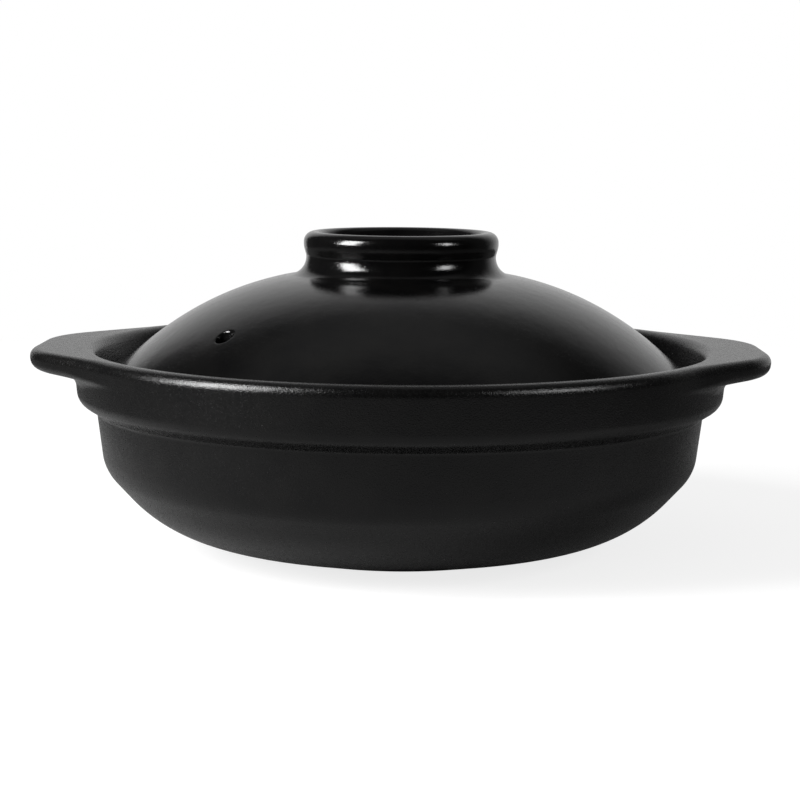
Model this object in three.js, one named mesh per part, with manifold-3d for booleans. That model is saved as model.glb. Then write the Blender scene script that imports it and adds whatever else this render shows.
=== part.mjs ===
// Shallow clay casserole: a stepped bowl with two flat ears, and a domed lid with a ring knob and a vent.
// Millimetres and degrees, +Z up. The origin is the middle of the foot, and +X runs out through one ear.

import * as THREE from 'three';
import { mergeVertices } from 'three/addons/utils/BufferGeometryUtils.js';
import Module from 'manifold-3d';

const wasm = await Module();
wasm.setup();

// Bowl, from the foot to the neck
const RIM_HEIGHT = 80.5; // table to the crest of the rim
const FOOT_RADIUS = 58; // flat disc that the bowl stands on
const FOOT_EDGE_ROUND = 1.5;
const UNDERSIDE_SLOPE = 13.5; // rise of the underside, outwards from the foot
const BELLY_SLOPE = 48; // rise of the lower wall
const BELLY_ROUND = 56; // outer curve between the underside and the lower wall
const KNEE_HEIGHT = 33; // where the lower wall would meet the neck in a corner
const KNEE_ROUND = 17;
const NECK_DRAFT = 7; // lean of the neck, narrower downwards
const WALL = 10; // thickness of the floor and the lower wall
const FLOOR_ROUND = 40; // inner curve where the floor starts to rise

// Collar that steps out above the neck
const COLLAR_RADIUS = 131; // outside, where the face would meet the rim in a corner
const COLLAR_HEIGHT = 20.1; // rim crest to the collar's lower edge
const COLLAR_FLARE = 5.2; // lean of the outer face, wider upwards
const COLLAR_WALL = 8.5; // thickness at the rim
const COLLAR_INNER_LEAN = 16; // lean of the inner face, narrower downwards to the lid's shelf
const COLLAR_EDGE_ROUND = 6;
const STEP_DEPTH = 7.4; // collar's lower edge in to the neck
const STEP_SLOPE = 36; // rise of the collar's underside
const STEP_ROUND = 2.5;
const RIM_OUTER_ROUND = 4.3;
const RIM_INNER_ROUND = 5;

// Shelf inside the collar, which the lid sits on
const SEAT_DEPTH = 19; // rim crest down to the shelf
const SEAT_WIDTH = 9.5;
const SEAT_ROOT_ROUND = 2.5;
const SEAT_EDGE_ROUND = 2.5;

// Ears
const EAR_REACH = 16.4; // tip beyond the collar
const EAR_TIP_WIDTH = 58.6; // between the sharp corners of the tip
const EAR_CORNER_ROUND = 45;
const EAR_THICKNESS = 8;
const EAR_EDGE_LAND = 0.6; // upright strip left between the rounded upper and lower edges
const EAR_BITE = 1.6; // how far the ear's sides run in under the collar's face
const EAR_ROOT_ROUND = 4; // hollow curve under the ear, against the collar
const EAR_ROOT_LAP = 0.3; // how far the ends of that curve run into the ear and the collar's slip layer

// Lid
const LID_PLAY = 3.85; // from the lid's edge to the foot of the collar's inner face, all round
const LID_HEIGHT = 51.6; // edge to the top of the dome
const DOME_HALF_HEIGHT = 57.3; // upright half-axis of the ellipse that the dome is cut from
const LID_WALL = 7;
const LID_EDGE_ROUND = 2.2;
const VENT_DIAMETER = 7.5;
const VENT_FROM_EDGE = 22.2; // lid's edge in to the middle of the vent
const VENT_BEARING = 225; // anticlockwise from +X, seen from above

// Ring knob
const KNOB_STAND = 13; // above the top of the dome
const KNOB_RADIUS = 39.1; // at the lip
const KNOB_WALL = 9.1;
const KNOB_LIP_HEIGHT = 7.5; // top of the ring down to the underside of the lip
const KNOB_LIP_ROUND = 5.5; // outer edge of the ring's top
const KNOB_LIP_UNDER_ROUND = 3;
const KNOB_CROWN_ROUND = 2.5; // inner edge of the ring's top
const KNOB_WAIST = 1; // how far the waist draws in under the lip
const KNOB_WAIST_ROUND = 3; // hollow curve under the lip
const KNOB_FLARE_ROUND = 7; // hollow curve from the waist out onto the dome

// Clearances
const LUTE = 0.3; // slip layer between two luted pieces
const SEAT_CLEARANCE = 0.3; // lid above its shelf

// Fineness of the facets
const REVOLVE_STEPS = 64;
const CHORD_ERROR = 0.2; // largest gap between an arc and its facets
const DOME_STEPS = 10;
const EAR_EDGE_STEPS = 3;
const VENT_SIDES = 20;

const GLAZE = { color: 0x111112, roughness: 0.42, metalness: 0 };

// Profile helpers. A profile is a list of Vector2 with x the radius and y the height.

const radians = THREE.MathUtils.degToRad;
const point = (x, y) => new THREE.Vector2(x, y);

// A straight line through a point, rising at the given angle.
function line(through, angle) {
  return { through, along: point(Math.cos(radians(angle)), Math.sin(radians(angle))) };
}

// The same line moved sideways, to the left of its direction.
function shifted(base, distance) {
  const left = point(-base.along.y, base.along.x);
  return { through: base.through.clone().addScaledVector(left, distance), along: base.along };
}

// The point where two lines cross.
function crossing(first, second) {
  const between = second.through.clone().sub(first.through);
  const reach = between.cross(second.along) / first.along.cross(second.along);
  return first.through.clone().addScaledVector(first.along, reach);
}

// Corners joined by straight lines, each corner rounded by its own radius where it has one.
// Two arcs that would meet on one line share it in proportion.
function rounded(corners) {
  const spots = corners.map(({ at }) => at);
  const turns = corners.map((corner, i) => {
    if (!corner.round) {
      return null;
    }
    const arrive = spots[i].clone().sub(spots[i - 1]).normalize();
    const leave = spots[i + 1].clone().sub(spots[i]).normalize();
    const angle = Math.atan2(arrive.cross(leave), arrive.dot(leave));
    return { arrive, angle, cut: corner.round * Math.tan(Math.abs(angle) / 2) };
  });
  const cuts = turns.map((turn) => (turn ? turn.cut : 0));
  const share = (i) => Math.min(1, spots[i].distanceTo(spots[i + 1]) / (cuts[i] + cuts[i + 1] || 1));
  return turns.flatMap((turn, i) => {
    if (!turn) {
      return [spots[i]];
    }
    const cut = turn.cut * Math.min(share(i - 1), share(i));
    const radius = cut / Math.tan(Math.abs(turn.angle) / 2);
    const start = spots[i].clone().addScaledVector(turn.arrive, -cut);
    const side = Math.sign(turn.angle) * radius;
    const centre = start.clone().add(point(-turn.arrive.y, turn.arrive.x).multiplyScalar(side));
    const widest = 2 * Math.acos(Math.max(0, 1 - CHORD_ERROR / radius));
    const count = Math.ceil(Math.abs(turn.angle) / widest);
    const swing = (k) => start.clone().rotateAround(centre, (turn.angle * k) / count);
    return Array.from({ length: count + 1 }, (_, k) => swing(k));
  });
}

const corner = (at, round = 0) => ({ at, round });

// Solid helpers

// A closed geometry with its shared vertices merged, as a solid that can be cut and joined.
function solid(geometry) {
  geometry.deleteAttribute('normal');
  geometry.deleteAttribute('uv');
  const merged = mergeVertices(geometry);
  const corners = merged.index.array;
  const kept = [];
  for (let i = 0; i < corners.length; i += 3) {
    const [a, b, c] = corners.subarray(i, i + 3);
    if (a !== b && b !== c && c !== a) {
      kept.push(a, b, c);
    }
  }
  const vertProperties = new Float32Array(merged.attributes.position.array);
  return new wasm.Manifold(new wasm.Mesh({ numProp: 3, vertProperties, triVerts: new Uint32Array(kept) }));
}

// A profile turned once round the Z axis.
function revolved(profile) {
  return solid(new THREE.LatheGeometry(profile, REVOLVE_STEPS).rotateX(Math.PI / 2));
}

// A named mesh with its own material.
function piece(name, body) {
  const { vertProperties, triVerts } = body.getMesh();
  const geometry = new THREE.BufferGeometry();
  geometry.setAttribute('position', new THREE.BufferAttribute(new Float32Array(vertProperties), 3));
  geometry.setIndex(new THREE.BufferAttribute(new Uint32Array(triVerts), 1));
  geometry.computeVertexNormals();
  const mesh = new THREE.Mesh(geometry, new THREE.MeshStandardMaterial(GLAZE));
  mesh.name = name;
  return mesh;
}

// Shared places

const seatHeight = RIM_HEIGHT - SEAT_DEPTH;
const level = (height) => line(point(0, height), 0);
const collarFoot = RIM_HEIGHT - COLLAR_HEIGHT;
const collarFace = line(point(COLLAR_RADIUS, RIM_HEIGHT), 90 - COLLAR_FLARE);
const collarInner = COLLAR_RADIUS - COLLAR_WALL;
const collarInnerFace = line(point(collarInner, RIM_HEIGHT), 90 - COLLAR_INNER_LEAN);
const seatOuter = crossing(collarInnerFace, level(seatHeight)).x;
const seatInner = seatOuter - SEAT_WIDTH;

// Bowl

function bowlSolid() {
  const collarEdge = crossing(collarFace, level(collarFoot));
  const stepDrop = STEP_DEPTH * Math.tan(radians(STEP_SLOPE));
  const stepRoot = point(collarEdge.x - STEP_DEPTH, collarEdge.y - stepDrop);
  const knee = crossing(line(stepRoot, 90 - NECK_DRAFT), level(KNEE_HEIGHT));
  const belly = line(knee, BELLY_SLOPE);
  const foot = point(FOOT_RADIUS, 0);
  const underside = line(foot, UNDERSIDE_SLOPE);
  const innerBelly = shifted(belly, WALL);
  const innerUnderside = shifted(underside, WALL);
  const innerNeck = line(point(seatInner, seatHeight), 90);
  return revolved(rounded([
    corner(point(0, 0)),
    corner(foot, FOOT_EDGE_ROUND),
    corner(crossing(underside, belly), BELLY_ROUND),
    corner(knee, KNEE_ROUND),
    corner(stepRoot, STEP_ROUND),
    corner(collarEdge, COLLAR_EDGE_ROUND),
    corner(point(COLLAR_RADIUS, RIM_HEIGHT), RIM_OUTER_ROUND),
    corner(point(collarInner, RIM_HEIGHT), RIM_INNER_ROUND),
    corner(point(seatOuter, seatHeight), SEAT_ROOT_ROUND),
    corner(point(seatInner, seatHeight), SEAT_EDGE_ROUND),
    corner(crossing(innerNeck, innerBelly), KNEE_ROUND),
    corner(crossing(innerBelly, innerUnderside), BELLY_ROUND - WALL),
    corner(crossing(innerUnderside, level(WALL)), FLOOR_ROUND),
    corner(point(0, WALL)),
  ]));
}

// Ears

// What the collar and its slip layer fill, from the axis out.
function collarEnvelope() {
  const face = shifted(collarFace, -LUTE);
  const top = level(RIM_HEIGHT + LUTE);
  const bottom = level(collarFoot);
  return revolved(rounded([
    corner(point(0, collarFoot)),
    corner(crossing(face, bottom)),
    corner(crossing(face, top), RIM_OUTER_ROUND + LUTE),
    corner(point(0, RIM_HEIGHT + LUTE)),
  ]));
}

// Plan of the right ear, drawn in by inset all round. The sides lean in to meet the collar at a flat angle.
function earPlan(inset) {
  const tip = COLLAR_RADIUS + EAR_REACH;
  const bite = COLLAR_RADIUS - EAR_BITE;
  const halfTip = EAR_TIP_WIDTH / 2;
  const lean = Math.atan2(halfTip, tip) + Math.acos(bite / Math.hypot(tip, halfTip));
  const outwards = point(Math.cos(lean), Math.sin(lean));
  const sideEnd = outwards.clone().multiplyScalar(bite - inset);
  const innerEnd = outwards.clone().multiplyScalar(collarInner);
  const side = line(sideEnd, THREE.MathUtils.radToDeg(lean) + 90);
  const cornerSpot = crossing(side, line(point(tip - inset, 0), 90));
  const mirrored = (spot) => point(spot.x, -spot.y);
  return new THREE.Shape(rounded([
    corner(mirrored(innerEnd)),
    corner(mirrored(sideEnd)),
    corner(mirrored(cornerSpot), EAR_CORNER_ROUND - inset),
    corner(cornerSpot, EAR_CORNER_ROUND - inset),
    corner(sideEnd),
    corner(innerEnd),
  ]));
}

function earSolid() {
  const edge = (EAR_THICKNESS - EAR_EDGE_LAND) / 2;
  const under = RIM_HEIGHT - EAR_THICKNESS;
  const slab = solid(new THREE.ExtrudeGeometry(earPlan(0), {
    depth: EAR_EDGE_LAND,
    bevelSize: edge,
    bevelThickness: edge,
    bevelOffset: -edge,
    bevelSegments: EAR_EDGE_STEPS,
  }).translate(0, 0, under + edge));
  const face = shifted(collarFace, EAR_ROOT_LAP - LUTE);
  const rootTop = crossing(face, level(under + EAR_ROOT_LAP));
  const rootFoot = crossing(face, level(rootTop.y - 2 * EAR_ROOT_ROUND));
  const rootInner = rootFoot.x - EAR_ROOT_ROUND;
  const rootOuter = rootTop.x + EAR_ROOT_ROUND;
  const root = revolved(rounded([
    corner(point(rootInner, rootFoot.y)),
    corner(rootFoot),
    corner(rootTop, EAR_ROOT_ROUND),
    corner(point(rootOuter, rootTop.y)),
    corner(point(rootOuter, under + edge)),
    corner(point(rootInner, under + edge)),
    corner(point(rootInner, rootFoot.y)),
  ]));
  const keep = solid(new THREE.ExtrudeGeometry(earPlan(edge), {
    depth: EAR_THICKNESS + 2 * EAR_ROOT_ROUND,
    bevelEnabled: false,
  }).translate(0, 0, rootFoot.y));
  return slab.add(root.intersect(keep)).subtract(collarEnvelope());
}

// Lid

const lidEdgeHeight = seatHeight + SEAT_CLEARANCE;
const lidEdgeRadius = seatOuter - LID_PLAY;
const domeTop = lidEdgeHeight + LID_HEIGHT;
const domeCentre = domeTop - DOME_HALF_HEIGHT;
const lidEdgeTop = lidEdgeHeight + LID_EDGE_ROUND;
const domeHalfWidth = lidEdgeRadius / Math.sqrt(1 - ((lidEdgeTop - domeCentre) / DOME_HALF_HEIGHT) ** 2);

// The dome's ellipse grown outwards, from the given height up to the axis.
function domeArc(grown, fromHeight) {
  const start = Math.asin((fromHeight - domeCentre) / (DOME_HALF_HEIGHT + grown));
  const arc = new THREE.EllipseCurve(
    0, domeCentre, domeHalfWidth + grown, DOME_HALF_HEIGHT + grown, start, Math.PI / 2);
  return arc.getPoints(DOME_STEPS);
}

function lidSolid() {
  const outer = domeArc(0, lidEdgeTop);
  const inner = domeArc(-LID_WALL, lidEdgeTop).reverse();
  const edge = rounded([
    corner(inner.at(-1)),
    corner(point(inner.at(-1).x, lidEdgeHeight), LID_EDGE_ROUND),
    corner(point(outer[0].x, lidEdgeHeight), LID_EDGE_ROUND),
    corner(outer[0]),
  ]);
  const shell = revolved([...inner.slice(0, -1), ...edge.slice(1, -1), ...outer]);
  const ventRadius = VENT_DIAMETER / 2;
  const vent = new THREE.CylinderGeometry(ventRadius, ventRadius, LID_HEIGHT, VENT_SIDES);
  const ventOut = lidEdgeRadius - VENT_FROM_EDGE;
  const ventPlace = point(ventOut, 0).rotateAround(point(0, 0), radians(VENT_BEARING));
  vent.rotateX(Math.PI / 2).translate(ventPlace.x, ventPlace.y, lidEdgeHeight + LID_HEIGHT / 2);
  return shell.subtract(solid(vent));
}

// Ring knob, with its foot cut to the dome

function knobSolid() {
  const top = domeTop + KNOB_STAND;
  const lipFoot = top - KNOB_LIP_HEIGHT;
  const bore = KNOB_RADIUS - KNOB_WALL;
  const waist = KNOB_RADIUS - KNOB_WAIST;
  const foot = waist + KNOB_FLARE_ROUND;
  const footHeight = domeCentre + DOME_HALF_HEIGHT * Math.sqrt(1 - (foot / domeHalfWidth) ** 2);
  const ring = revolved(rounded([
    corner(point(bore, domeCentre)),
    corner(point(foot, domeCentre)),
    corner(point(foot, footHeight)),
    corner(point(waist, footHeight), KNOB_FLARE_ROUND),
    corner(point(waist, lipFoot - KNOB_WAIST), KNOB_WAIST_ROUND),
    corner(point(KNOB_RADIUS, lipFoot), KNOB_LIP_UNDER_ROUND),
    corner(point(KNOB_RADIUS, top), KNOB_LIP_ROUND),
    corner(point(bore, top), KNOB_CROWN_ROUND),
    corner(point(bore, domeCentre)),
  ]));
  const dome = revolved([point(0, domeCentre), ...domeArc(LUTE, domeCentre)]);
  return ring.subtract(dome);
}

// Assembly

const pot = new THREE.Group();
const ear = earSolid();
pot.add(piece('pot_bowl', bowlSolid()));
pot.add(piece('right_ear', ear));
pot.add(piece('left_ear', ear.mirror([1, 0, 0])));

const lid = new THREE.Group();
lid.add(piece('lid_dome', lidSolid()));
lid.add(piece('lid_knob_ring', knobSolid()));

const casserole = new THREE.Group();
casserole.add(pot, lid);

export default casserole;
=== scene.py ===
"""Looks of a shallow black clay casserole: a glazed pot with two flat ears, a domed lid with a ring knob.

Metres, in the part's own frame: +Z up, the origin in the middle of the foot, +X out through one ear.
"""
import math

import bmesh
import bpy
import numpy as np
from mathutils import Matrix, Vector


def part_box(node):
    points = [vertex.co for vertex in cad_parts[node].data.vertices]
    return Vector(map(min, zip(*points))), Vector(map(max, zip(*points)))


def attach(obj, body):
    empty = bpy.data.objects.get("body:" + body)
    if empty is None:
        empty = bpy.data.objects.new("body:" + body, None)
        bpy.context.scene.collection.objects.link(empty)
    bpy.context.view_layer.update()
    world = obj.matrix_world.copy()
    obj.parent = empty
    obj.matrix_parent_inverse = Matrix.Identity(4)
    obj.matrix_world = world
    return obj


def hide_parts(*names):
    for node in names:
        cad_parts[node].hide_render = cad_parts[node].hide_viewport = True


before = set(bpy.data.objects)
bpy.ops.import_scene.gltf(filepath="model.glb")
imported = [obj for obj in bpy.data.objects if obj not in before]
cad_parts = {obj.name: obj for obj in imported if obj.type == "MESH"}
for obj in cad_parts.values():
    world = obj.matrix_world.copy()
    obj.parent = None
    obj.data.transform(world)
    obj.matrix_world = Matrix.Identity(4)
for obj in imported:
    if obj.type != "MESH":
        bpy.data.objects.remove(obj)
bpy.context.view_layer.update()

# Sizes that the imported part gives
rim_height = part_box("pot_bowl")[1].z
ear_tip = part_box("right_ear")[1].x
lid_edge_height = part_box("lid_dome")[0].z
lid_edge_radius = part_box("lid_dome")[1].x
dome_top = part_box("lid_dome")[1].z
knob_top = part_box("lid_knob_ring")[1].z

# Pot, from the foot to the neck
FOOT_RADIUS = 0.058
FOOT_EDGE_ROUND = 0.0015
UNDERSIDE_SLOPE = math.radians(13.5)
BELLY_SLOPE = math.radians(48)
BELLY_ROUND = 0.056
KNEE_HEIGHT = 0.033
KNEE_ROUND = 0.017
NECK_DRAFT = math.radians(7)
POT_WALL = 0.010
FLOOR_ROUND = 0.040

# Collar, and the shelf inside it
COLLAR_RADIUS = 0.131
COLLAR_HEIGHT = 0.0201
COLLAR_FLARE = math.radians(5.2)
COLLAR_WALL = 0.0085
COLLAR_INNER_LEAN = math.radians(13)
COLLAR_INNER_DEPTH = 0.0105
COLLAR_INNER_ROUND = 0.012
COLLAR_EDGE_ROUND = 0.006
STEP_DEPTH = 0.0074
STEP_SLOPE = math.radians(32)
STEP_ROUND = 0.002
RIM_OUTER_ROUND = 0.0038
RIM_INNER_ROUND = 0.0042
SEAT_DEPTH = 0.019
SEAT_WIDTH = 0.0095
LID_PLAY = 0.00385
SEAT_ROUND = 0.0025

# Ears
EAR_TIP_WIDTH = 0.0586
EAR_CORNER_ROUND = 0.045
EAR_THICKNESS = 0.008
EAR_TOP_ROUND = 0.0034
EAR_UNDER_ROUND = 0.0043
EAR_BITE = 0.0016
EAR_ROOT_ROUND = 0.0055
EAR_ROOT_DROP = 0.0016
EAR_SIDE_BLEND = 0.0016

# Lid
DOME_HALF_HEIGHT = 0.0573
DOME_FLAT = 0.0013
DOME_FALL = 0.02855
DOME_FALL_AT = 0.1
DOME_POWER = 2.75
LID_WALL = 0.007
LID_EDGE_ROUND = 0.0022
LID_SHOULDER_ROUND = 0.004
VENT_RADIUS = 0.00375
VENT_LIP_ROUND = 0.0007
VENT_FROM_EDGE = 0.0222
VENT_BEARING = math.radians(225)

# Ring knob
KNOB_RADIUS = 0.0391
KNOB_WALL = 0.0091
KNOB_LIP_HEIGHT = 0.006
KNOB_LIP_ROUND = 0.0042
KNOB_LIP_UNDER_ROUND = 0.009
KNOB_CREST = 0.0062
KNOB_CROWN_ROUND = 0.004
KNOB_FUNNEL = 0.0044
KNOB_WAIST = 0.001
KNOB_WAIST_DROP = 0.0034
KNOB_WAIST_ROUND = 0.006
KNOB_FLARE_ROUND = 0.0105
KNOB_WELL_ROUND = 0.0018

# Fineness
TURN_STEPS = 384
ARC_STEPS = 8
LONG_ARC_STEPS = 18
RUN_STEPS = 5
DOME_STEPS = 36
DOME_EDGE_STEPS = 18
VENT_CELLS = 12
WELD = 1e-6

# Glaze and bare clay: scales are per metre, heights in metres, colours linear
POT_GLAZE = dict(smooth_gloss=0.2, dull_gloss=0.29, grain_strength=0.6)
LID_GLAZE = dict(smooth_gloss=0.1, dull_gloss=0.16, grain_strength=0.2)
GLAZE_SPECULAR = 0.42
NOISE_LOW = 0.3
NOISE_HIGH = 0.7
MOTTLE = dict(scale=70, detail=5)
MOTTLE_DARK = (0.0012, 0.0012, 0.0013, 1)
MOTTLE_LIGHT = (0.0028, 0.0027, 0.0026, 1)
MOTTLE_DARK_AT = 0.35
MOTTLE_LIGHT_AT = 0.7
GLAZE_LINE = dict(scale=55, detail=2)
GLAZE_LINE_LOW = 0.0003
GLAZE_LINE_HIGH = 0.0011
CLAY = dict(scale=420, detail=6)
CLAY_DARK = (0.085, 0.062, 0.047, 1)
CLAY_LIGHT = (0.17, 0.13, 0.10, 1)
CLAY_ROUGHNESS = 0.9
GLOSS = dict(scale=900, detail=3)
RIPPLE = dict(scale=130, detail=2)
RIPPLE_STRENGTH = 0.15
RIPPLE_HEIGHT = 0.0006
GRAIN = dict(scale=2000, detail=2)
GRAIN_HEIGHT = 0.0002
PIMPLE_SCALE = 900
PIMPLE_SIZE = 0.25
PIMPLE_STRENGTH = 0.6
PIMPLE_HEIGHT = 0.00004

# Floor: its colour paints a pool of light in a strip that runs back from the pot, and painted shade at its
# sides and front, fading in between the places given
WHITE = (1, 1, 1, 1)
WHITE_STRENGTH = 1.0
FLOOR_RADIUS = 0.8
FLOOR_SIDES = 96
FLOOR_DROP = 0.0002
FLOOR_ROUGHNESS = 0.9
FLOOR_SPECULAR = 0.0
FLOOR_PAINTED_POOL = (0.27, 0.27, 0.27, 1)
FLOOR_PAINTED_SHADE = (0.08, 0.08, 0.08, 1)
FLOOR_GLOW = 0.78
POOL_SIDE_FULL = 0.2
POOL_SIDE_FROM = 0.31
POOL_FRONT_FROM = -0.65
POOL_FRONT_FULL = 0.05

# Room: strengths, and the parts of a direction between which each light fades in
ROOM_LIGHT = 0.3
BACKDROP_LIGHT = 0.68
CEILING_LIGHT = 0.22
SIDE_LIGHT = 0.04
CEILING_FROM = 0.7
CEILING_FULL = 0.95
ROOM_FROM = -0.15
ROOM_FULL = 0.25
BACKDROP_FROM = 0.5
BACKDROP_FULL = 0.93
BACKDROP_LEFT_FROM = -0.56
BACKDROP_LEFT_FULL = -0.42

# Lamps and camera, on bearings from the front: positive to the right
LEFT_SOFTBOX = dict(bearing=math.radians(-65), distance=1.3, height=0.72, width=0.55, tall=0.95, power=47)
RIGHT_SOFTBOX = dict(bearing=math.radians(57), distance=1.3, height=0.66, width=0.32, tall=0.5, power=6.5)
CAMERA_BEARING = math.radians(1.0)
CAMERA_DISTANCE = 0.8045
CAMERA_HEIGHT = 0.1683
CAMERA_AIM = 0.0581
CAMERA_ROLL = math.radians(0.45)
CAMERA_LENS = 90
SENSOR = 36


# Profiles


def corner_at(radius, height, bend=0, arc=0, run=1):
    """A corner of a section: its place, the radius that rounds it, and the steps of its arc and next run."""
    return radius, height, bend, arc, run


def rounded(corners):
    """Corners joined by straight runs, each corner swept round by an arc of its own radius.

    Places and radii may be arrays over the turn. On an arc that turns by a, a point is start + radius
    * (sin(a t) along the arriving run + (1 - cos(a t)) to the side of the turn), t from 0 to 1. Two arcs
    that would meet share their run. Points are complex numbers, radius + 1j * height, in rows along the
    section and columns round the turn.
    """
    radii, heights, bends, arcs, steps = zip(*corners)
    turns = np.broadcast_shapes(*(np.shape(value) for value in (*radii, *heights, *bends)), (1,))
    spots = np.stack([np.broadcast_to(r + 1j * z, turns) for r, z in zip(radii, heights)])
    rounds = np.stack([np.broadcast_to(bend, turns) for bend in bends])
    runs = np.diff(spots, axis=0)
    lengths = np.abs(runs)
    along = runs / lengths
    angle = np.angle(along[1:] / along[:-1])
    half = np.tan(np.abs(angle) / 2)
    cut = np.zeros(spots.shape)
    cut[1:-1] = rounds[1:-1] * half
    share = np.minimum(1, lengths / np.maximum(cut[:-1] + cut[1:], WELD))
    cut[1:-1] *= np.minimum(share[:-1], share[1:])
    rows = [spots[:1]]
    last = len(runs) - 1
    for k in range(len(runs)):
        begin = rows[-1][-1]
        end = spots[k + 1] - along[k] * cut[k + 1]
        parts = np.arange(1, steps[k] + 1)[:, None] / steps[k]
        rows.append(begin + parts * (end - begin))
        if k == last or not arcs[k + 1]:
            continue
        swing = angle[k] * np.arange(1, arcs[k + 1] + 1)[:, None] / arcs[k + 1]
        radius = cut[k + 1] / np.maximum(half[k], WELD)
        side = np.where(angle[k] < 0, -1, 1)
        rows.append(end + radius * along[k] * (np.sin(np.abs(swing)) + 1j * side * (1 - np.cos(swing))))
    return np.concatenate(rows)


def crossing(first, first_slope, second, second_slope):
    """Where two straight lines cross, each given by a point (complex) and its slope angle."""
    a = np.exp(1j * first_slope)
    b = np.exp(1j * second_slope)
    gap = second - first
    return first + a * (gap.real * b.imag - gap.imag * b.real) / (a.real * b.imag - a.imag * b.real)


# Meshes


def full_turn(steps):
    """Bearings of a full turn in even steps, from +X."""
    return np.arange(steps) * math.tau / steps


def turned(profile, bearings):
    """Points of a profile turned about Z: (radius cos b, radius sin b, height), rows by bearings."""
    radius, height = np.broadcast_arrays(profile.real, profile.imag)
    shape = np.broadcast_shapes(radius.shape, (1, len(bearings)))
    spin = np.broadcast_to(bearings, shape)
    return np.stack((radius * np.cos(spin), radius * np.sin(spin), np.broadcast_to(height, shape)), axis=-1)


def grid_faces(rows, columns):
    """Quads of a grid whose vertex number is row * columns + column, closed round the columns."""
    row = np.arange(rows - 1)[:, None]
    column = np.arange(columns)[None, :]
    beside = (column + 1) % columns
    corners = (row * columns + column, row * columns + beside,
               (row + 1) * columns + beside, (row + 1) * columns + column)
    return np.stack(np.broadcast_arrays(*corners), axis=-1)


def mesh_piece(name, points, faces, finish):
    """A smooth mesh object at the origin: doubles welded, so seams and poles close, and normals outwards."""
    data = bpy.data.meshes.new(name)
    data.from_pydata(points.reshape(-1, 3).tolist(), [], faces.reshape(-1, 4).tolist())
    work = bmesh.new()
    work.from_mesh(data)
    bmesh.ops.remove_doubles(work, verts=work.verts, dist=WELD)
    bmesh.ops.recalc_face_normals(work, faces=work.faces)
    work.to_mesh(data)
    work.free()
    data.shade_smooth()
    data.materials.append(finish)
    piece = bpy.data.objects.new(name, data)
    bpy.context.scene.collection.objects.link(piece)
    return piece


# Pot with its ears


def ear_reach(bearings):
    """How far the ears stand out beyond the collar's corner, at each bearing.

    Measured from the nearer ear's middle, the plan's edge is first the tip's straight line, tip / cos b,
    then the corner's arc, c cos(b - g) + sqrt(R^2 - c^2 sin^2(b - g)) about a centre at distance c and
    bearing g, then the side's straight line, bite / cos(b - lean), which leaves the collar at a flat angle.
    Near the collar a smooth maximum rounds the meeting: max(e, 0) + (k - |e|)^2 / 4k where |e| < k.
    """
    bearing = np.abs((bearings + math.pi / 2) % math.pi - math.pi / 2)
    bite = COLLAR_RADIUS - EAR_BITE
    half_tip = EAR_TIP_WIDTH / 2
    lean = math.atan2(half_tip, ear_tip) + math.acos(bite / math.hypot(ear_tip, half_tip))
    middle_x = ear_tip - EAR_CORNER_ROUND
    middle_y = (bite - EAR_CORNER_ROUND - middle_x * math.cos(lean)) / math.sin(lean)
    distance = math.hypot(middle_x, middle_y)
    swing = bearing - math.atan2(middle_y, middle_x)
    inside = np.maximum(EAR_CORNER_ROUND**2 - (distance * np.sin(swing))**2, 0)
    arc = distance * np.cos(swing) + np.sqrt(inside)
    arc_start = math.atan2(middle_y, ear_tip)
    arc_end = math.atan2(middle_y + EAR_CORNER_ROUND * math.sin(lean),
                         middle_x + EAR_CORNER_ROUND * math.cos(lean))
    side = bite / np.cos(np.minimum(bearing - lean, 0))
    edge = np.where(bearing < arc_start, ear_tip / np.cos(bearing), np.where(bearing < arc_end, arc, side))
    reach = edge - COLLAR_RADIUS
    meeting = np.maximum(EAR_SIDE_BLEND - np.abs(reach), 0)**2 / (4 * EAR_SIDE_BLEND)
    return np.maximum(reach, 0) + meeting


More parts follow.
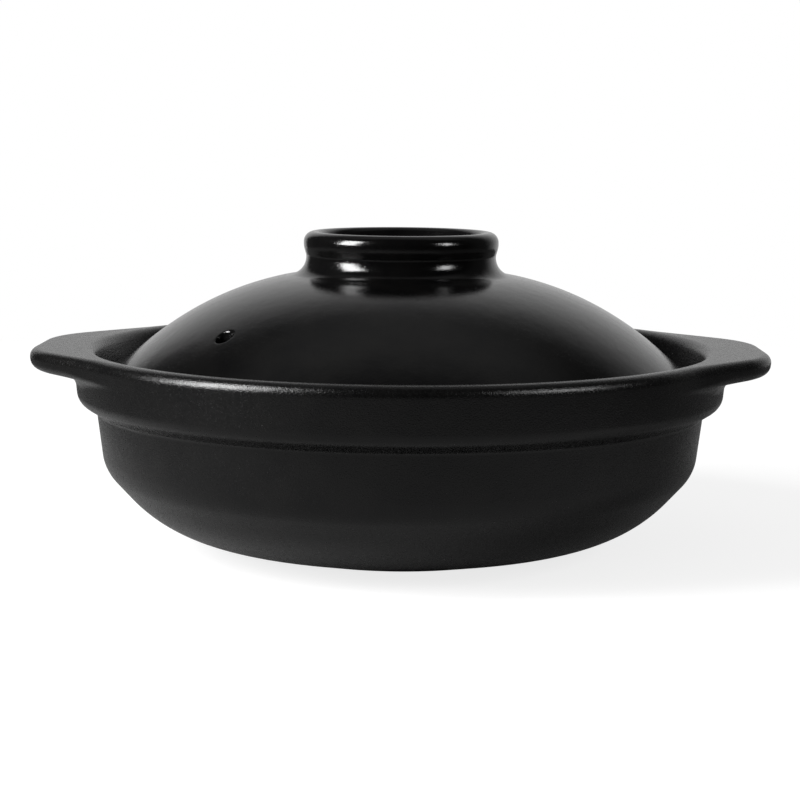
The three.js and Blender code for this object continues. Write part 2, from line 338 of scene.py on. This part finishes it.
def pot_profile(bearings):
    """The pot's section at each bearing: under the foot, up the outside and down the inside to the floor.

    Between the collar's edge and the rim the section bulges out to the ear's edge where there is an ear.
    Elsewhere those corners lie in line with the collar's face and the section is the plain collar's.
    """
    reach = ear_reach(bearings)
    collar_foot = rim_height - COLLAR_HEIGHT
    seat = rim_height - SEAT_DEPTH
    collar_inner = COLLAR_RADIUS - COLLAR_WALL
    inner_foot = collar_inner - COLLAR_INNER_DEPTH * math.tan(COLLAR_INNER_LEAN)
    seat_outer = lid_edge_radius + LID_PLAY
    seat_inner = seat_outer - SEAT_WIDTH
    ear_under = rim_height - EAR_THICKNESS
    ear_root = ear_under - EAR_ROOT_DROP

    def face(height):
        """Radius of the collar's outer face at a height: it leans out by the flare up to the rim."""
        return COLLAR_RADIUS - (rim_height - height) * math.tan(COLLAR_FLARE)

    step_root = face(collar_foot) - STEP_DEPTH + 1j * (collar_foot - STEP_DEPTH * math.tan(STEP_SLOPE))
    knee = step_root.real - (step_root.imag - KNEE_HEIGHT) * math.tan(NECK_DRAFT) + 1j * KNEE_HEIGHT
    belly = crossing(FOOT_RADIUS, UNDERSIDE_SLOPE, knee, BELLY_SLOPE)
    inner_knee_line = knee + 1j * POT_WALL * np.exp(1j * BELLY_SLOPE)
    inner_foot_line = FOOT_RADIUS + 1j * POT_WALL * np.exp(1j * UNDERSIDE_SLOPE)
    inner_knee = crossing(seat_inner, math.pi / 2, inner_knee_line, BELLY_SLOPE)
    inner_belly = crossing(inner_foot_line, UNDERSIDE_SLOPE, inner_knee_line, BELLY_SLOPE)
    floor_edge = crossing(1j * POT_WALL, 0, inner_foot_line, UNDERSIDE_SLOPE)
    on_ear = np.clip(reach / (2 * EAR_TOP_ROUND), 0, 1)
    rim_round = RIM_OUTER_ROUND + on_ear * (EAR_TOP_ROUND - RIM_OUTER_ROUND)
    return rounded([
        corner_at(0, 0, run=RUN_STEPS),
        corner_at(FOOT_RADIUS, 0, FOOT_EDGE_ROUND, ARC_STEPS, RUN_STEPS),
        corner_at(belly.real, belly.imag, BELLY_ROUND, LONG_ARC_STEPS, RUN_STEPS),
        corner_at(knee.real, knee.imag, KNEE_ROUND, LONG_ARC_STEPS, RUN_STEPS),
        corner_at(step_root.real, step_root.imag, STEP_ROUND, ARC_STEPS, RUN_STEPS),
        corner_at(face(collar_foot), collar_foot, COLLAR_EDGE_ROUND, ARC_STEPS, RUN_STEPS),
        corner_at(face(ear_root), ear_root, EAR_ROOT_ROUND, ARC_STEPS, RUN_STEPS),
        corner_at(face(ear_under) + reach, ear_under, EAR_UNDER_ROUND, ARC_STEPS, RUN_STEPS),
        corner_at(COLLAR_RADIUS + reach, rim_height, rim_round, ARC_STEPS, RUN_STEPS),
        corner_at(collar_inner, rim_height, RIM_INNER_ROUND, ARC_STEPS, RUN_STEPS),
        corner_at(inner_foot, rim_height - COLLAR_INNER_DEPTH, COLLAR_INNER_ROUND, ARC_STEPS, RUN_STEPS),
        corner_at(seat_outer, seat, SEAT_ROUND, ARC_STEPS, RUN_STEPS),
        corner_at(seat_inner, seat, SEAT_ROUND, ARC_STEPS, RUN_STEPS),
        corner_at(inner_knee.real, inner_knee.imag, KNEE_ROUND, LONG_ARC_STEPS, RUN_STEPS),
        corner_at(inner_belly.real, inner_belly.imag, BELLY_ROUND - POT_WALL, LONG_ARC_STEPS, RUN_STEPS),
        corner_at(floor_edge.real, floor_edge.imag, FLOOR_ROUND, ARC_STEPS, RUN_STEPS),
        corner_at(0, POT_WALL),
    ])


def make_pot(finish):
    """The pot and both ears as one glazed skin: the section of each bearing, turned about Z."""
    bearings = full_turn(TURN_STEPS)
    points = turned(pot_profile(bearings), bearings)
    return mesh_piece("glazed_pot", points, grid_faces(len(points), TURN_STEPS), finish)


# Lid with its knob and vent

dome_centre = dome_top - DOME_HALF_HEIGHT
lid_edge_top = lid_edge_height + LID_EDGE_ROUND
dome_half_width = lid_edge_radius / math.sqrt(1 - ((lid_edge_top - dome_centre) / DOME_HALF_HEIGHT)**2)
vent_out = lid_edge_radius - VENT_FROM_EDGE
vent_half_block = VENT_CELLS / 2 * vent_out * math.tau / TURN_STEPS
vent_slope = math.atan(DOME_FALL * DOME_POWER / DOME_FALL_AT * (vent_out / DOME_FALL_AT)**(DOME_POWER - 1))
flare_start = KNOB_RADIUS - KNOB_WAIST + KNOB_FLARE_ROUND


def dome_height(radius):
    """Height of the dome's outside at a radius: it falls from the top by a power of the radius."""
    return dome_top - DOME_FLAT - DOME_FALL * (radius / DOME_FALL_AT)**DOME_POWER


def dome_under(radius):
    """Height of the dome's underside at a radius: an ellipse, a wall's thickness inside edge and top."""
    across = dome_half_width - LID_WALL
    return dome_centre + (DOME_HALF_HEIGHT - LID_WALL) * np.sqrt(1 - (radius / across)**2)


def knob_section():
    """The knob's section: up the flare from the dome, round waist and lip, down the bore and to the axis."""
    waist = KNOB_RADIUS - KNOB_WAIST
    bore = KNOB_RADIUS - KNOB_WALL
    half_bore = bore / 2
    lip_foot = knob_top - KNOB_LIP_HEIGHT
    ring = rounded([
        corner_at(flare_start, dome_height(flare_start)),
        corner_at(waist, dome_height(waist), KNOB_FLARE_ROUND, LONG_ARC_STEPS, RUN_STEPS),
        corner_at(waist, lip_foot - KNOB_WAIST_DROP, KNOB_WAIST_ROUND, ARC_STEPS),
        corner_at(KNOB_RADIUS, lip_foot, KNOB_LIP_UNDER_ROUND, ARC_STEPS),
        corner_at(KNOB_RADIUS, knob_top, KNOB_LIP_ROUND, LONG_ARC_STEPS),
        corner_at(KNOB_RADIUS - KNOB_CREST, knob_top, KNOB_CROWN_ROUND, ARC_STEPS, RUN_STEPS),
        corner_at(bore, knob_top - KNOB_FUNNEL, KNOB_CROWN_ROUND, ARC_STEPS, RUN_STEPS),
        corner_at(bore, dome_height(bore), KNOB_WELL_ROUND, ARC_STEPS),
        corner_at(half_bore, dome_height(half_bore)),
    ])[:-1, 0]
    well = np.linspace(half_bore, 0, RUN_STEPS)
    return np.concatenate((ring, well + 1j * dome_height(well)))


def lid_section():
    """The lid's section, and the rows where the vent's block of cells starts in it, under and over the dome.

    It runs from the axis under the dome out to the edge, then over the dome and the knob and into its well.
    """
    block_in = vent_out - vent_half_block
    block_out = vent_out + vent_half_block
    inner_edge = (dome_half_width - LID_WALL) * math.sqrt(
        1 - ((lid_edge_top - dome_centre) / (DOME_HALF_HEIGHT - LID_WALL))**2)
    shoulder_in = lid_edge_radius - LID_SHOULDER_ROUND
    under = np.concatenate((np.linspace(0, block_in, DOME_STEPS, endpoint=False),
                            np.linspace(block_in, block_out, VENT_CELLS, endpoint=False),
                            np.linspace(block_out, inner_edge, RUN_STEPS)[:-1]))
    edge = rounded([
        corner_at(inner_edge, lid_edge_top),
        corner_at(inner_edge, lid_edge_height, LID_EDGE_ROUND, ARC_STEPS),
        corner_at(lid_edge_radius, lid_edge_height, LID_EDGE_ROUND, ARC_STEPS, RUN_STEPS),
        corner_at(lid_edge_radius, dome_height(lid_edge_radius), LID_SHOULDER_ROUND, ARC_STEPS),
        corner_at(shoulder_in, dome_height(shoulder_in)),
    ])[:, 0]
    over = np.concatenate((np.linspace(shoulder_in, block_out, DOME_EDGE_STEPS, endpoint=False)[1:],
                           np.linspace(block_out, block_in, VENT_CELLS, endpoint=False),
                           np.linspace(block_in, flare_start, DOME_STEPS)[:-1]))
    section = np.concatenate((under + 1j * dome_under(under), edge,
                              over + 1j * dome_height(over), knob_section()))
    return section, DOME_STEPS, len(under) + len(edge) + DOME_EDGE_STEPS - 1


def vent_sleeve(above, below):
    """Rows of points that line the vent, from a ring of points on the dome down to one on its underside.

    Straight lines on the dome run from the outer ring to the vent's mouth, a rounded lip follows, then the
    upright bore, and the same again below. The mouth is round in the dome's slope, so in plan it is narrowed
    along the slope by the slope's cosine.
    """
    middle = vent_out * np.array((math.cos(VENT_BEARING), math.sin(VENT_BEARING)))
    radial = middle / vent_out
    outwards = above[:, :2] - middle
    outwards /= np.linalg.norm(outwards, axis=1, keepdims=True)
    outwards -= (1 - math.cos(vent_slope)) * (outwards @ radial)[:, None] * radial
    lip = np.arange(ARC_STEPS + 1)[:, None] / ARC_STEPS * math.pi / 2
    lip_out = VENT_RADIUS + VENT_LIP_ROUND * (1 - np.sin(lip))
    lip_drop = VENT_LIP_ROUND * (1 - np.cos(lip))
    spread = np.linspace(0, 1, VENT_CELLS, endpoint=False)[:, None, None]

    def half_sleeve(border, surface, turn):
        """One end of the sleeve: even steps in from the border, then a quarter circle round the lip."""
        start = middle + lip_out[0] * outwards
        flat = border[:, :2] + spread * (start - border[:, :2])
        round_lip = middle + lip_out[:, :, None] * outwards
        plan = np.concatenate((flat, round_lip))
        drop = np.concatenate((np.zeros((VENT_CELLS, 1)), lip_drop))
        height = surface(np.linalg.norm(plan, axis=-1)) - turn * drop
        return np.concatenate((plan, height[..., None]), axis=-1)

    top_half = half_sleeve(above, dome_height, 1)
    bottom_half = half_sleeve(below, dome_under, -1)[::-1]
    bore_parts = np.linspace(0, 1, RUN_STEPS + 1)[1:-1, None, None]
    bore_rows = top_half[-1] + bore_parts * (bottom_half[0] - top_half[-1])
    return np.concatenate((top_half, bore_rows, bottom_half))


def make_lid(finish):
    """Dome and ring knob as one glazed skin: the lid's section turned about Z, with a vent through it.

    A square block of cells round the vent is left out, above and below, and a sleeve between them fills it.
    """
    section, under_row, over_row = lid_section()
    points = turned(section[:, None], full_turn(TURN_STEPS))
    faces = grid_faces(len(points), TURN_STEPS)
    column = round(VENT_BEARING / math.tau * TURN_STEPS) - VENT_CELLS // 2
    kept = np.ones(faces.shape[:2], bool)
    for row in (under_row, over_row):
        kept[row:row + VENT_CELLS, column:column + VENT_CELLS] = False

    # The block's border, once round
    steps = np.arange(VENT_CELLS)
    near = np.zeros(VENT_CELLS, int)
    far = near + VENT_CELLS
    border_row = np.concatenate((near, steps, far, VENT_CELLS - steps))
    border_column = column + np.concatenate((steps, far, VENT_CELLS - steps, near))
    above = points[over_row + border_row, border_column]
    below = points[under_row + VENT_CELLS - border_row, border_column]
    sleeve = vent_sleeve(above, below)
    sleeve_faces = grid_faces(len(sleeve), sleeve.shape[1]) + len(points) * TURN_STEPS
    every_point = np.concatenate((points.reshape(-1, 3), sleeve.reshape(-1, 3)))
    every_face = np.concatenate((faces[kept], sleeve_faces.reshape(-1, 4)))
    return mesh_piece("glazed_lid", every_point, every_face, finish)


# Shader nodes


def add_node(tree, kind, **values):
    """A shader node. Each value is a setting, or goes to the socket of that name, underscores as spaces.

    A value for a socket is a constant, or another node's output, which is linked.
    """
    made = tree.nodes.new(kind)
    for key, value in values.items():
        if hasattr(made, key):
            setattr(made, key, value)
            continue
        socket = made.inputs[key.replace("_", " ")]
        if isinstance(value, bpy.types.NodeSocket):
            tree.links.new(value, socket)
        else:
            socket.default_value = value
    return made


def smooth_step(tree, value, low, high):
    """A smooth ramp of a value, from 0 at low to 1 at high."""
    ramp = add_node(tree, "ShaderNodeMapRange", interpolation_type="SMOOTHSTEP",
                    Value=value, From_Min=low, From_Max=high)
    return ramp.outputs["Result"]


def spread_noise(tree, noise, low, high):
    """A noise drawn out evenly, from low to high."""
    ramp = add_node(tree, "ShaderNodeMapRange", Value=noise, From_Min=NOISE_LOW, From_Max=NOISE_HIGH,
                    To_Min=low, To_Max=high)
    return ramp.outputs["Result"]


def two_colours(tree, noise, dark, light, dark_at=0, light_at=1):
    """A noise as a colour, dark up to one value, light from another, and blended between."""
    ramp = add_node(tree, "ShaderNodeValToRGB", Fac=noise)
    for element, colour, position in zip(ramp.color_ramp.elements, (dark, light), (dark_at, light_at)):
        element.position = position
        element.color = colour
    return ramp.outputs["Color"]


def blend(tree, factor, first, second, data_type="FLOAT"):
    """The first value where the factor is 0, the second where it is 1."""
    made = add_node(tree, "ShaderNodeMix", data_type=data_type, Factor=factor, A=first, B=second)
    return made.outputs["Result"]


def combine(tree, operation, first, second):
    """Two values put together by an operation, such as a product or a maximum."""
    made = add_node(tree, "ShaderNodeMath", operation=operation)
    tree.links.new(first, made.inputs[0])
    tree.links.new(second, made.inputs[1])
    return made.outputs[0]


# Finishes


def black_glaze(name, smooth_gloss, dull_gloss, grain_strength):
    """Satin black glaze: nearly neutral black, softly mottled, finely grained, with bare clay underfoot."""
    material = bpy.data.materials.new(name)
    material.use_nodes = True
    tree = material.node_tree
    shader = tree.nodes["Principled BSDF"]
    place = add_node(tree, "ShaderNodeTexCoord").outputs["Object"]

    def noise(scale, detail):
        """Cloudy noise at each place on the piece."""
        return add_node(tree, "ShaderNodeTexNoise", Vector=place, Scale=scale, Detail=detail).outputs["Fac"]

    # Bare clay on the flat of the foot, up to a slightly wavy glaze line
    height = add_node(tree, "ShaderNodeSeparateXYZ", Vector=place).outputs["Z"]
    line = spread_noise(tree, noise(**GLAZE_LINE), GLAZE_LINE_LOW, GLAZE_LINE_HIGH)
    bare = combine(tree, "LESS_THAN", height, line)

    mottle = two_colours(tree, noise(**MOTTLE), MOTTLE_DARK, MOTTLE_LIGHT, MOTTLE_DARK_AT, MOTTLE_LIGHT_AT)
    clay = two_colours(tree, noise(**CLAY), CLAY_DARK, CLAY_LIGHT)
    tree.links.new(blend(tree, bare, mottle, clay, "RGBA"), shader.inputs["Base Color"])

    gloss = spread_noise(tree, noise(**GLOSS), smooth_gloss, dull_gloss)
    tree.links.new(blend(tree, bare, gloss, CLAY_ROUGHNESS), shader.inputs["Roughness"])

    # Relief: a faint ripple, a fine grain on it, and round pimples on both
    ripple = add_node(tree, "ShaderNodeBump", Strength=RIPPLE_STRENGTH, Distance=RIPPLE_HEIGHT,
                      Height=noise(**RIPPLE))
    grain = add_node(tree, "ShaderNodeBump", Strength=grain_strength, Distance=GRAIN_HEIGHT,
                     Height=noise(**GRAIN), Normal=ripple.outputs["Normal"])
    specks = add_node(tree, "ShaderNodeTexVoronoi", Vector=place, Scale=PIMPLE_SCALE)
    swell = smooth_step(tree, specks.outputs["Distance"], PIMPLE_SIZE, 0.0)
    pimple = add_node(tree, "ShaderNodeBump", Strength=PIMPLE_STRENGTH, Distance=PIMPLE_HEIGHT,
                      Height=swell, Normal=grain.outputs["Normal"])
    tree.links.new(pimple.outputs["Normal"], shader.inputs["Normal"])
    shader.inputs["Specular IOR Level"].default_value = GLAZE_SPECULAR
    return material


# Stage, light and camera


def pale_floor():
    """A pale sheet under the foot, its colour a painted pool of light with painted shade at sides and front.
    It takes the shadow and glows to the lens.
    """
    border = FLOOR_RADIUS * np.exp(1j * full_turn(FLOOR_SIDES))
    corners = np.stack((border.real, border.imag, np.full(FLOOR_SIDES, -FLOOR_DROP)), axis=-1)
    data = bpy.data.meshes.new("floor")
    data.from_pydata(corners.tolist(), [], [list(range(FLOOR_SIDES))])
    material = bpy.data.materials.new("pale_floor")
    material.use_nodes = True
    tree = material.node_tree
    shader = tree.nodes["Principled BSDF"]
    shader.inputs["Roughness"].default_value = FLOOR_ROUGHNESS
    shader.inputs["Specular IOR Level"].default_value = FLOOR_SPECULAR
    shader.inputs["Emission Color"].default_value = WHITE
    place = add_node(tree, "ShaderNodeTexCoord").outputs["Object"]
    spot = add_node(tree, "ShaderNodeSeparateXYZ", Vector=place)
    aside = add_node(tree, "ShaderNodeMath", operation="ABSOLUTE", Value=spot.outputs["X"])
    # Painted light: the colour is a pale pool in a strip behind the pot, with painted shade to the sides and
    # front
    painted_pool = combine(tree, "MULTIPLY", smooth_step(tree, aside.outputs[0], POOL_SIDE_FROM, POOL_SIDE_FULL),
                    smooth_step(tree, spot.outputs["Y"], POOL_FRONT_FROM, POOL_FRONT_FULL))
    tree.links.new(blend(tree, painted_pool, FLOOR_PAINTED_SHADE, FLOOR_PAINTED_POOL, "RGBA"), shader.inputs["Base Color"])
    seen = add_node(tree, "ShaderNodeLightPath").outputs["Is Camera Ray"]
    glow = combine(tree, "MULTIPLY", seen, blend(tree, painted_pool, WHITE_STRENGTH, FLOOR_GLOW))
    tree.links.new(glow, shader.inputs["Emission Strength"])
    data.materials.append(material)
    floor = bpy.data.objects.new("floor", data)
    bpy.context.scene.collection.objects.link(floor)


def studio_walls():
    """White to the camera. In reflections: a backdrop behind, dim sides and ceiling, and a dark front."""
    world = bpy.data.worlds.new("studio")
    bpy.context.scene.world = world
    world.use_nodes = True
    tree = world.node_tree
    sky = tree.nodes["Background"]
    sky.inputs["Color"].default_value = WHITE
    way = add_node(tree, "ShaderNodeSeparateXYZ",
                   Vector=add_node(tree, "ShaderNodeTexCoord").outputs["Generated"])
    rays = add_node(tree, "ShaderNodeLightPath")
    ceiling = smooth_step(tree, way.outputs["Z"], CEILING_FROM, CEILING_FULL)
    room = combine(tree, "MULTIPLY", blend(tree, ceiling, SIDE_LIGHT, CEILING_LIGHT),
                   smooth_step(tree, way.outputs["Y"], ROOM_FROM, ROOM_FULL))
    behind = combine(tree, "MULTIPLY", smooth_step(tree, way.outputs["Y"], BACKDROP_FROM, BACKDROP_FULL),
                     smooth_step(tree, way.outputs["X"], BACKDROP_LEFT_FROM, BACKDROP_LEFT_FULL))
    walls = blend(tree, behind, room, BACKDROP_LIGHT)
    mirrored = combine(tree, "MAXIMUM", rays.outputs["Is Glossy Ray"], rays.outputs["Is Transmission Ray"])
    light = blend(tree, mirrored, ROOM_LIGHT, walls)
    seen = blend(tree, rays.outputs["Is Camera Ray"], light, WHITE_STRENGTH)
    tree.links.new(seen, sky.inputs["Strength"])


def softbox(name, bearing, distance, height, width, tall, power):
    """An upright rectangular lamp that faces the pot, at a bearing from the front."""
    lamp = bpy.data.lights.new(name, "AREA")
    lamp.shape = "RECTANGLE"
    lamp.size = width
    lamp.size_y = tall
    lamp.energy = power
    holder = bpy.data.objects.new(name, lamp)
    holder.location = (distance * math.sin(bearing), -distance * math.cos(bearing), height)
    aim = Vector((0, 0, rim_height)) - holder.location
    holder.rotation_euler = aim.to_track_quat("-Z", "Y").to_euler()
    bpy.context.scene.collection.objects.link(holder)


def photo_camera():
    """A long lens a little above the rim, rolled by the small lean of the picture."""
    lens = bpy.data.cameras.new("camera")
    lens.lens = CAMERA_LENS
    lens.sensor_width = SENSOR
    camera = bpy.data.objects.new("camera", lens)
    spot = Vector((CAMERA_DISTANCE * math.sin(CAMERA_BEARING), -CAMERA_DISTANCE * math.cos(CAMERA_BEARING),
                   CAMERA_HEIGHT))
    aim = Vector((0, 0, CAMERA_AIM)) - spot
    turn = aim.to_track_quat("-Z", "Y").to_matrix() @ Matrix.Rotation(CAMERA_ROLL, 3, "Z")
    camera.matrix_world = Matrix.Translation(spot) @ turn.to_4x4()
    bpy.context.scene.collection.objects.link(camera)
    bpy.context.scene.camera = camera


bpy.context.scene.view_settings.view_transform = "Standard"
pot = make_pot(black_glaze("pot_glaze", **POT_GLAZE))
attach(pot, "bowl")
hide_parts("pot_bowl", "left_ear", "right_ear")

lid = make_lid(black_glaze("lid_glaze", **LID_GLAZE))
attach(lid, "lid")
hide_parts("lid_dome", "lid_knob_ring")

pale_floor()
studio_walls()
softbox("left_softbox", **LEFT_SOFTBOX)
softbox("right_softbox", **RIGHT_SOFTBOX)
photo_camera()
